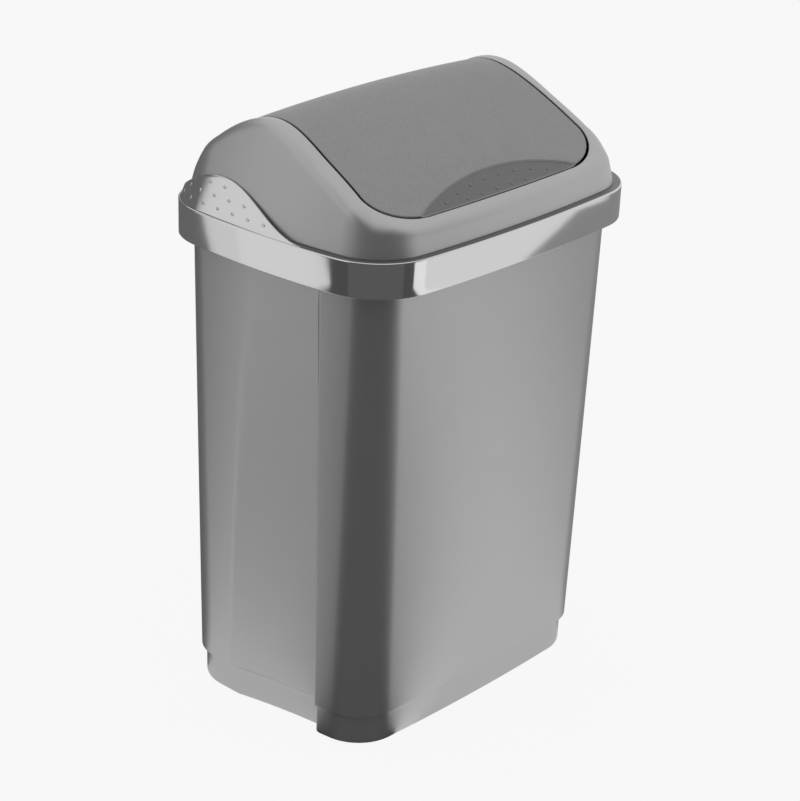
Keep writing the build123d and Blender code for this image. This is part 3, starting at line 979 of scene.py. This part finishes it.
def rim_rows(z, inset):
    """Rows on the collar's outline, with as many columns as a bucket row."""
    z, inset = as_columns(z, inset)
    half_x, half_y, corner = (np.full_like(z, size) for size in (COLLAR_HALF_X, COLLAR_HALF_Y, COLLAR_CORNER))
    x, y = bucket_half(Outline(half_x, half_y, corner, COLLAR_BOW), inset)
    return whole_rows(x, y, z)


# %% [markdown]
# ## The bucket's rows, from the floor up and back down
# With the helpers above, the bucket is a list of heights and insets. Each bend gets a few rows close
# together, so that it shades as a soft round, and each straight wall only as many as its slow change needs.

# %% Bucket
STEP_ROUND = 1.1
LIP_ROUND = 0.6
MOUTH_ROUND = 1.2
MOUTH_ROUND_MIDDLE = 0.35
INNER_ROUND = 5.0
bend = np.radians(np.linspace(0, 90, 8))
bottom = bucket_rows(np.zeros(7), FOOT_ROUND, True, np.linspace(0, 1, 8)[:-1])
foot_edge = bucket_rows(FOOT_ROUND * (1 - np.cos(bend)), FOOT_ROUND * (1 - np.sin(bend)), True)
foot_wall = bucket_rows(np.linspace(8, FOOT_HEIGHT - 0.6, 5), 0.0, True)
foot_nook = bucket_rows([FOOT_HEIGHT - 0.1], -0.25, True)
step_bend = np.radians(np.linspace(10, 90, 6))
step_z = FOOT_HEIGHT + STEP_ROUND * (1 - np.cos(step_bend))
step_edge = bucket_rows(step_z, STEP_ROUND * (1 - np.sin(step_bend)), False)
wall = bucket_rows(np.linspace(FOOT_HEIGHT + 3, RIM_TOP - RIM_THICKNESS, 40), 0.0, False)
lip_low = RIM_TOP - RIM_LIP_DEPTH
lip_inner = RIM_INSET + RIM_LIP
rim_z = [
    RIM_TOP - RIM_THICKNESS, lip_low + LIP_ROUND, lip_low, lip_low, lip_low + LIP_ROUND,
    RIM_TOP - MOUTH_ROUND, RIM_TOP - MOUTH_ROUND_MIDDLE, RIM_TOP,
]
rim_inset = [
    lip_inner, lip_inner, lip_inner - LIP_ROUND, RIM_INSET + LIP_ROUND, RIM_INSET,
    RIM_INSET, RIM_INSET + MOUTH_ROUND_MIDDLE, RIM_INSET + MOUTH_ROUND,
]
rim = rim_rows(rim_z, rim_inset)
mouth_z = [RIM_TOP, RIM_TOP - 0.3, RIM_TOP - 1.0]
mouth_edge = bucket_rows(mouth_z, [BUCKET_WALL - 1.0, BUCKET_WALL - 0.3, BUCKET_WALL], False)
inner_wall = bucket_rows(np.linspace(RIM_TOP - 6, FOOT_HEIGHT + 4, 30), BUCKET_WALL, False)
inner_foot = bucket_rows(np.linspace(FOOT_HEIGHT, BUCKET_FLOOR + 6, 4), BUCKET_WALL, True)
inner_z = BUCKET_FLOOR + INNER_ROUND * (1 - np.sin(bend))
inner_edge = bucket_rows(inner_z, BUCKET_WALL + INNER_ROUND * (1 - np.cos(bend)), True)
shrinking = np.linspace(1, 0, 8)[1:]
inner_floor = bucket_rows(np.full(7, BUCKET_FLOOR), BUCKET_WALL + INNER_ROUND, True, shrinking)
bucket_points = np.concatenate([
    bottom, foot_edge, foot_wall, foot_nook, step_edge, wall, rim,
    mouth_edge, inner_wall, inner_foot, inner_edge, inner_floor,
])
bucket = join_grid("bin_body_shell", bucket_points, start_pole=True, end_pole=True)
print("bucket rows", len(bucket_points))

# %% [markdown]
# ## Who moves with what
# Each new piece stands for the node it was drawn over and rides on that node's body, so it follows every
# pose.

# %% Ride and replace
PIECES = (
    ("bin_body", "bin", "bucket_plastic", [bucket]),
    ("gloss_collar", "lid", "collar_gloss", [band, *wings, *grip_dots]),
    ("hood", "lid", "hood_plastic", [hood, *lugs]),
    ("swing_flap", "flap", "flap_plastic", [flap, *ears, push_dots]),
)
for node, body, slot_name, made in PIECES:
    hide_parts(node)
    for piece in made:
        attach(piece, body)
    print(node, "is shown by", [piece.name for piece in made])

# %% [markdown]
# ## Camera
# The camera stands where the photograph was taken from: it was worked out from the straight edges and the
# collar's outline. A long lens keeps the bin's sides nearly parallel, and the frame is turned a little.

# %% Camera
CAMERA_PLACE = Vector((-1.4870, -1.2648, 1.0775))
CAMERA_FORWARD = Vector((0.7014, 0.5942, -0.3936)).normalized()
CAMERA_ROLL = math.radians(2.37)
PHOTO_WIDTH = 800
FOCAL_PIXELS = 2524.1
SENSOR = 36.0
camera_data = bpy.data.cameras.new("camera")
camera = bpy.data.objects.new("camera", camera_data)
bpy.context.scene.collection.objects.link(camera)
camera_data.sensor_fit = "HORIZONTAL"
camera_data.sensor_width = SENSOR
camera_data.lens = FOCAL_PIXELS / PHOTO_WIDTH * SENSOR
level_right = CAMERA_FORWARD.cross(Vector((0, 0, 1))).normalized()
level_up = level_right.cross(CAMERA_FORWARD)
right = level_right * math.cos(CAMERA_ROLL) + level_up * math.sin(CAMERA_ROLL)
up = level_up * math.cos(CAMERA_ROLL) - level_right * math.sin(CAMERA_ROLL)
turn = Matrix((right, up, -CAMERA_FORWARD)).transposed().to_4x4()
camera.matrix_world = Matrix.Translation(CAMERA_PLACE) @ turn
bpy.context.scene.camera = camera
print("lens", round(camera_data.lens, 2), "mm")

# %% [markdown]
# ## Moulded plastic
# Polypropylene that is coloured right through is satin, not matt: it keeps the tool's fine etched grain,
# and tiny flakes in the silver-grey pigment make it glint a little. One node group works out the parts that
# change over the surface: the colour's slow drift, the flakes, the grain and small changes in roughness.
# Each material then sets its own values.

# %% Node group for the surface of a moulding
SURFACE_INPUTS = (
    ("Color", (0.3, 0.3, 0.3, 1)), ("Drift", 0.05), ("Flakes", 0.05), ("Flakes per metre", 1400.0),
    ("Roughness", 0.4), ("Roughness spread", 0.05), ("Grain per metre", 1600.0), ("Grain height", 0.00002),
)
SURFACE_OUTPUTS = (
    ("Color", "NodeSocketColor"), ("Roughness", "NodeSocketFloat"), ("Normal", "NodeSocketVector"),
)
DRIFT_PER_METRE = 9.0
WEAR_PER_METRE = 60.0


def make_moulded_surface():
    """Colour, roughness and normal of a moulded surface, from noise at four scales in Object coordinates."""
    group = bpy.data.node_groups.new("moulded_surface", "ShaderNodeTree")
    for name, value in SURFACE_INPUTS:
        kind = "NodeSocketFloat" if isinstance(value, float) else "NodeSocketColor"
        group.interface.new_socket(name=name, in_out="INPUT", socket_type=kind).default_value = value
    for name, kind in SURFACE_OUTPUTS:
        group.interface.new_socket(name=name, in_out="OUTPUT", socket_type=kind)
    nodes, links = group.nodes, group.links
    given, out = nodes.new("NodeGroupInput"), nodes.new("NodeGroupOutput")
    where = nodes.new("ShaderNodeTexCoord").outputs["Object"]

    def feed(socket, value):
        """Gives a socket a plain number, or links another node's output to it."""
        if isinstance(value, float):
            socket.default_value = value
        else:
            links.new(value, socket)

    def noise(scale, detail):
        """Cloudy noise from 0 to 1, with so many lumps in a metre."""
        node = nodes.new("ShaderNodeTexNoise")
        links.new(where, node.inputs["Vector"])
        feed(node.inputs["Scale"], scale)
        feed(node.inputs["Detail"], detail)
        return node.outputs["Fac"]

    def multiply_add(*factors_and_term):
        """first x second + third"""
        node = nodes.new("ShaderNodeMath")
        node.operation = "MULTIPLY_ADD"
        for socket, value in zip(node.inputs, factors_and_term):
            feed(socket, value)
        return node.outputs[0]

    def centred(value, amount, offset=1.0):
        """offset + amount x (2 x value - 1), so that noise swings evenly about the offset."""
        return multiply_add(multiply_add(value, 2.0, -1.0), amount, offset)

    drift = centred(noise(DRIFT_PER_METRE, 3.0), given.outputs["Drift"])
    flakes = centred(noise(given.outputs["Flakes per metre"], 2.0), given.outputs["Flakes"])
    both = nodes.new("ShaderNodeMath")
    both.operation = "MULTIPLY"
    links.new(drift, both.inputs[0])
    links.new(flakes, both.inputs[1])
    tint = nodes.new("ShaderNodeVectorMath")
    tint.operation = "SCALE"
    links.new(given.outputs["Color"], tint.inputs[0])
    links.new(both.outputs[0], tint.inputs["Scale"])
    links.new(tint.outputs["Vector"], out.inputs["Color"])
    wear = noise(WEAR_PER_METRE, 4.0)
    rough = centred(wear, given.outputs["Roughness spread"], given.outputs["Roughness"])
    links.new(rough, out.inputs["Roughness"])
    grain = noise(given.outputs["Grain per metre"], 3.0)
    bump = nodes.new("ShaderNodeBump")
    links.new(grain, bump.inputs["Height"])
    links.new(given.outputs["Grain height"], bump.inputs["Distance"])
    links.new(bump.outputs["Normal"], out.inputs["Normal"])
    return group


moulded_surface = make_moulded_surface()


def plastic(name, color, metallic, second_tone=None, **values):
    """Principled material whose colour, roughness and normal come from the moulded surface group.

    Where a piece's `second_tone` attribute is 1, the second colour and roughness take over from the first.
    """
    material = bpy.data.materials.new(name)
    material.use_nodes = True
    nodes, links = material.node_tree.nodes, material.node_tree.links
    shader = nodes["Principled BSDF"]
    surface = nodes.new("ShaderNodeGroup")
    surface.node_tree = moulded_surface
    surface.inputs["Color"].default_value = (*color, 1)
    for key, value in values.items():
        surface.inputs[key.replace("_", " ")].default_value = value
    if second_tone:
        mask = nodes.new("ShaderNodeAttribute")
        mask.attribute_name = "second_tone"
        second_color, second_roughness = second_tone
        tones = (("Color", "RGBA", (*second_color, 1)), ("Roughness", "FLOAT", second_roughness))
        for key, kind, value in tones:
            mix = nodes.new("ShaderNodeMix")
            mix.data_type = kind
            plain, second = [socket for socket in mix.inputs if socket.enabled and socket.name in "AB"]
            plain.default_value = surface.inputs[key].default_value
            second.default_value = value
            links.new(mask.outputs["Fac"], mix.inputs["Factor"])
            links.new(next(socket for socket in mix.outputs if socket.enabled), surface.inputs[key])
    for given, taken in (("Color", "Base Color"), ("Roughness", "Roughness"), ("Normal", "Normal")):
        links.new(surface.outputs[given], shader.inputs[taken])
    shader.inputs["Metallic"].default_value = metallic
    return material


# %% [markdown]
# ## The four finishes
# The silver look comes from fine metal pigment, so each plastic is set nearly metallic and its roughness
# says how satin it is. The collar is the one polished moulding. Its ledge under the hood is darker
# and duller than its band: the darker colour is painted shade, standing in for the hood's shadow on it.
# The push area is darker than the rest of the flap. Those two places have a second tone, which a stored
# mask switches on.

# %% Finishes
FINISHES = {
    "bucket_plastic": plastic(
        "satin_bucket", (0.44, 0.44, 0.44), 0.9, Roughness=0.42, Roughness_spread=0.02,
        Drift=0.02, Flakes=0.03, Grain_per_metre=1500.0, Grain_height=0.00001),
    # The collar's second tone: a dark colour that is painted shade for the ledge under the hood, with a
    # duller roughness.
    "collar_gloss": plastic(
        "polished_collar", (0.63, 0.63, 0.63), 0.92, second_tone=((0.19, 0.19, 0.19), 0.45), Roughness=0.09,
        Roughness_spread=0.015, Drift=0.02, Flakes=0.01, Grain_per_metre=300.0, Grain_height=0.000002),
    "hood_plastic": plastic(
        "satin_hood", (0.44, 0.44, 0.44), 0.85, Roughness=0.41, Roughness_spread=0.02,
        Drift=0.02, Flakes=0.03, Grain_per_metre=1500.0, Grain_height=0.00001),
    "flap_plastic": plastic(
        "grained_flap", (0.255, 0.255, 0.254), 0.7, second_tone=((0.14, 0.14, 0.14), 0.34), Roughness=0.48,
        Roughness_spread=0.05, Drift=0.04, Flakes=0.22, Flakes_per_metre=700.0, Grain_per_metre=900.0,
        Grain_height=0.00006),
}
for _, _, slot_name, made in PIECES:
    for piece in made:
        piece.data.materials.append(FINISHES[slot_name])
print("finishes", sorted(FINISHES))

# %% [markdown]
# ## The studio
# A satin silver bin mostly shows what stands round it. Its walls look down at the floor, so the floor is
# the lamp that lights them. It glows white for the camera and in reflections, and for all other light it is
# a plain matt surface, so that its white never becomes extra light. The world behind it has a tone of its
# own for each of the three: white for the camera, a little darker in reflections, and a mild grey as light.

# %% Floor and background
WHITE = 0.94
FLOOR_REACH = 15.0
CAMERA_SHARE = 0.97
FLOOR_GREY = 0.8
ONE_FACE = [(0, 1, 2, 3)]


def light_path_mix(nodes, links, plain, glow, share, ray_names):
    """Mix shader that turns from a plain shader to a glowing one for the named kinds of ray."""
    path = nodes.new("ShaderNodeLightPath")
    total = nodes.new("ShaderNodeMath")
    total.operation = "ADD"
    total.use_clamp = True
    for index, ray_name in enumerate(ray_names):
        links.new(path.outputs[ray_name], total.inputs[index])
    part = nodes.new("ShaderNodeMath")
    part.operation = "MULTIPLY"
    part.inputs[1].default_value = share
    links.new(total.outputs[0], part.inputs[0])
    mix = nodes.new("ShaderNodeMixShader")
    links.new(part.outputs[0], mix.inputs["Fac"])
    links.new(plain.outputs[0], mix.inputs[1])
    links.new(glow.outputs[0], mix.inputs[2])
    return mix


def floor_material():
    """White for the camera and in reflections, a plain matt surface for all other light."""
    material = bpy.data.materials.new("pale_floor")
    material.use_nodes = True
    nodes, links = material.node_tree.nodes, material.node_tree.links
    nodes.clear()
    out = nodes.new("ShaderNodeOutputMaterial")
    plain = nodes.new("ShaderNodeBsdfDiffuse")
    plain.inputs["Color"].default_value = (FLOOR_GREY, FLOOR_GREY, FLOOR_GREY, 1)
    glow = nodes.new("ShaderNodeEmission")
    glow.inputs["Color"].default_value = (WHITE, WHITE, WHITE, 1)
    mix = light_path_mix(nodes, links, plain, glow, CAMERA_SHARE, ("Is Camera Ray", "Is Glossy Ray"))
    links.new(mix.outputs[0], out.inputs["Surface"])
    return material


def stage_mesh(name, corners, faces, material):
    """Stage piece from corners in metres."""
    mesh = bpy.data.meshes.new(name)
    mesh.from_pydata([tuple(corner) for corner in corners], [], faces)
    mesh.materials.append(material)
    piece = bpy.data.objects.new(name, mesh)
    bpy.context.scene.collection.objects.link(piece)
    return piece


floor_corners = [(x * FLOOR_REACH, y * FLOOR_REACH, 0) for x, y in ((-1, -1), (1, -1), (1, 1), (-1, 1))]
stage_mesh("floor", floor_corners, ONE_FACE, floor_material())

# %% Sky
AMBIENT = 0.62
SKY = 0.85
world = bpy.data.worlds.new("studio")
bpy.context.scene.world = world
world.use_nodes = True
world_nodes, world_links = world.node_tree.nodes, world.node_tree.links
ambient = world_nodes["Background"]
ambient.inputs["Color"].default_value = (AMBIENT, AMBIENT, AMBIENT, 1)
seen = world_nodes.new("ShaderNodeBackground")
seen.inputs["Color"].default_value = (WHITE, WHITE, WHITE, 1)
sky = world_nodes.new("ShaderNodeBackground")
sky.inputs["Color"].default_value = (SKY, SKY, SKY, 1)
lit = light_path_mix(world_nodes, world_links, ambient, sky, 1.0, ("Is Glossy Ray",))
backdrop = light_path_mix(world_nodes, world_links, lit, seen, 1.0, ("Is Camera Ray",))
world_links.new(backdrop.outputs[0], world_nodes["World Output"].inputs["Surface"])
bpy.context.scene.view_settings.view_transform = "Standard"

# %% [markdown]
# ## Dark and grey boards
# A photographer shapes a shiny thing by what it reflects. Here that is a dark side towards the bin's near
# corner: a dark sector on the floor draws the soft band down the bucket's corner and the sharp patch in the
# polished collar, and a dark wall behind it draws the patch on the hood, which looks a little upwards.
# Smaller grey boards tone down the far left and far right edges, and one bright sector draws the light edge
# beside the dark patch. The sectors spread out from the centres of the bin's corners, because a round
# corner reflects each direction once, in order. Only reflections see the boards.

# %% Boards
CORNER_X = collar_outline.corner_x * MM
CORNER_Y = collar_outline.corner_y * MM
SECTOR_START = 0.026
SECTOR_LIFT = 0.001
NEAR_PART = 0.78
FAR_PART = 0.97
SECTOR_END = 1.6
SECTOR_COLUMNS = 40


def board(name, corners, faces, grey):
    """Evenly toned board, in metres, that only reflections see."""
    tone = bpy.data.materials.new(name)
    tone.use_nodes = True
    nodes, links = tone.node_tree.nodes, tone.node_tree.links
    shade = nodes.new("ShaderNodeEmission")
    shade.inputs["Color"].default_value = (1, 1, 1, 1)
    shade.inputs["Strength"].default_value = grey
    links.new(shade.outputs[0], nodes["Material Output"].inputs["Surface"])
    piece = stage_mesh(name, corners, faces, tone)
    piece.visible_camera = False
    piece.visible_diffuse = False
    piece.visible_shadow = False


def sector(name, corner, grey, far_angles, near_angles=None, wall_height=0.01):
    """Ring sector on the floor round a corner's centre, in degrees, with a wall at its far side.

    A point is the centre + radius x (cos turn, sin turn). The polished collar is high up and sees the floor's
    far part. The bucket sees what lies nearer, and there the sector may swell to angles of its own.
    """
    far_turn = np.radians(np.linspace(*far_angles, SECTOR_COLUMNS))
    near_turn = np.radians(np.linspace(*(near_angles or far_angles), SECTOR_COLUMNS))
    rows = []
    for radius, turn, z in (
        (SECTOR_START, far_turn, SECTOR_LIFT),
        (NEAR_PART, near_turn, SECTOR_LIFT),
        (FAR_PART, far_turn, SECTOR_LIFT),
        (SECTOR_END, far_turn, SECTOR_LIFT),
        (SECTOR_END, far_turn, wall_height),
    ):
        x, y = corner[0] + radius * np.cos(turn), corner[1] + radius * np.sin(turn)
        rows.append(np.stack([x, y, np.full_like(x, z)], -1))
    index = np.arange(len(rows) * SECTOR_COLUMNS).reshape(len(rows), SECTOR_COLUMNS)
    faces = np.stack([index[:-1, :-1], index[:-1, 1:], index[1:, 1:], index[1:, :-1]], -1).reshape(-1, 4)
    board(name, np.concatenate(rows), faces.tolist(), grey)


def standing_board(name, corner, grey, start, end, foot, top):
    """Upright board between two directions from a corner's centre, at the sectors' far end."""
    turn = np.radians([start, end, end, start])
    x, y = corner[0] + SECTOR_END * np.cos(turn), corner[1] + SECTOR_END * np.sin(turn)
    board(name, np.stack([x, y, [foot, foot, top, top]], -1), ONE_FACE, grey)


# %% [markdown]
# ## Where the boards lie
# Each call gives a board's corner, its grey and the directions that it fills, in degrees from the x axis.
# The near corner has the dark side with its half-dark and bright edges, and the two outer corners have the
# grey boards. The last board lies slanted on the floor and is given by its four points. It tones the
# collar's right end, where the boundary runs askew.

# %% Boards in their places
NEAR_CORNER = (-CORNER_X, -CORNER_Y)
LEFT_CORNER = (-CORNER_X, CORNER_Y)
RIGHT_CORNER = (CORNER_X, -CORNER_Y)
LOW_WALL = 0.6
DARK_WALL = 2.4
GREY_WALL = 1.4
WALL_FOOT = 0.62
sector("half_dark_left", NEAR_CORNER, 0.6, (150.9, 151), (143, 147))
sector("dark_side_left_edge", NEAR_CORNER, 0.03, (151, 179), (147, 179), LOW_WALL)
sector("dark_side", NEAR_CORNER, 0.075, (179, 266.5), wall_height=DARK_WALL)
sector("dark_side_right_edge", NEAR_CORNER, 0.03, (266.5, 284), (266.5, 304), DARK_WALL)
sector("half_dark_right", NEAR_CORNER, 0.45, (284, 284.1), (304, 312))
sector("bright_edge", NEAR_CORNER, 1.15, (284.1, 306), (312, 329), LOW_WALL)
standing_board("dark_wall", NEAR_CORNER, 0.1, 284, 298, WALL_FOOT, DARK_WALL)
standing_board("half_dark_wall", NEAR_CORNER, 0.4, 298, 310, WALL_FOOT, DARK_WALL)
sector("grey_left", LEFT_CORNER, 0.12, (58, 127.8), wall_height=GREY_WALL)
sector("soft_left", LEFT_CORNER, 0.84, (127.8, 136))
sector("grey_right", RIGHT_CORNER, 0.28, (-30, 60))
SLANT = ((0.621, -0.576), (1.210, -0.849), (1.280, -0.739), (0.720, -0.416))
slant_corners = [(RIGHT_CORNER[0] + x, RIGHT_CORNER[1] + y, SECTOR_LIFT) for x, y in SLANT]
board("grey_right_slant", slant_corners, ONE_FACE, 0.28)
print("boards lie from", SECTOR_START, "to", SECTOR_END, "m out")

# %% [markdown]
# ## Soft light
# Three large soft boxes, left, front and above, give the matt parts their gentle shading. They stay out of
# reflections: a polished wing would show one as a blown-out spot, and the boards already draw the
# reflections.

# %% Lights
AIM = Vector((0, 0, 0.25))


def soft_light(name, place, size, power):
    """Square area light in metres and watts, turned to the bin and kept out of reflections."""
    data = bpy.data.lights.new(name, "AREA")
    data.shape = "SQUARE"
    data.size = size
    data.energy = power
    light = bpy.data.objects.new(name, data)
    turned = (AIM - Vector(place)).to_track_quat("-Z", "Y").to_matrix().to_4x4()
    light.matrix_world = Matrix.Translation(place) @ turned
    bpy.context.scene.collection.objects.link(light)
    light.visible_glossy = False
    print(name, "at", place, power, "W")


soft_light("left_softbox", (-2.2, 1.2, 1.3), 1.6, 10)
soft_light("front_softbox", (1.2, -2.2, 1.3), 1.6, 12)
soft_light("top_softbox", (-0.2, 0.1, 2.6), 2.4, 14)
